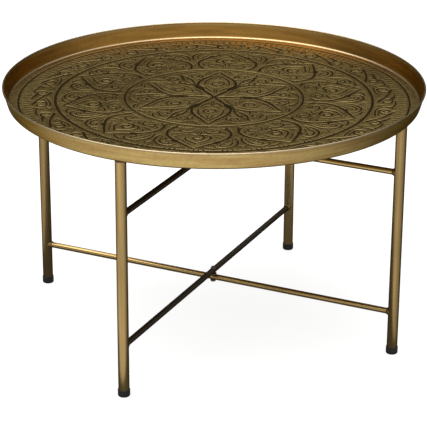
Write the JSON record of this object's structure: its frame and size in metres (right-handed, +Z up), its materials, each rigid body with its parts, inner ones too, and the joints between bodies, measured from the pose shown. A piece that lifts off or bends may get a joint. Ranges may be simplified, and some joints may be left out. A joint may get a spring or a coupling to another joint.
{
  "type": "tray table",
  "caption": "Round dished brass tray with an engraved floor, resting on a folding stand of crossed tube frames with rubber-capped feet.",
  "frame": {"origin": "on the floor under the tray's centre, at the bottom of the foot caps", "axes": "+Z up; +X along frame A, whose lower bar lies lowest; +Y along frame B"},
  "size_m": [0.7, 0.7, 0.43],
  "materials": {
    "tray_brass": "antique brass, engraved and patinated",
    "frame_brass": "antique brass finish on steel",
    "weld_metal": "weld bead under antique brass finish",
    "bolt_steel": "plated steel",
    "foot_rubber": "matt black",
    "plug_plastic": "matt black"
  },
  "bodies": {
    "frame_a": {"leg_a_left": "frame_brass", "foot_cap_a_left": "foot_rubber", "leg_plug_a_left": "plug_plastic", "leg_a_right": "frame_brass", "foot_cap_a_right": "foot_rubber", "leg_plug_a_right": "plug_plastic", "lower_bar_a": "frame_brass", "upper_bar_a": "frame_brass", "welds_frame_a": "weld_metal", "lower_pivot_bolt": "bolt_steel", "lower_pivot_nut": "bolt_steel", "lower_pivot_washer": "bolt_steel", "lower_pivot_spacer": "plug_plastic", "upper_pivot_bolt": "bolt_steel", "upper_pivot_nut": "bolt_steel", "upper_pivot_washer": "bolt_steel", "upper_pivot_spacer": "plug_plastic"},
    "frame_b": {"leg_b_front": "frame_brass", "foot_cap_b_front": "foot_rubber", "leg_plug_b_front": "plug_plastic", "leg_b_back": "frame_brass", "foot_cap_b_back": "foot_rubber", "leg_plug_b_back": "plug_plastic", "lower_bar_b": "frame_brass", "upper_bar_b": "frame_brass", "welds_frame_b": "weld_metal"},
    "tray_top": {"tray": "tray_brass"}
  },
  "joints": [
    {"name": "tray_lift", "type": "slide", "parent": "frame_a", "child": "tray_top", "axis": [0, 0, 1], "range_m": [0, 0.15]},
    {"name": "frame_fold", "type": "hinge", "parent": "frame_a", "child": "frame_b", "pos_m": [0, 0, 0], "axis": [0, 0, 1], "range_deg": [-86, 86]}
  ]
}
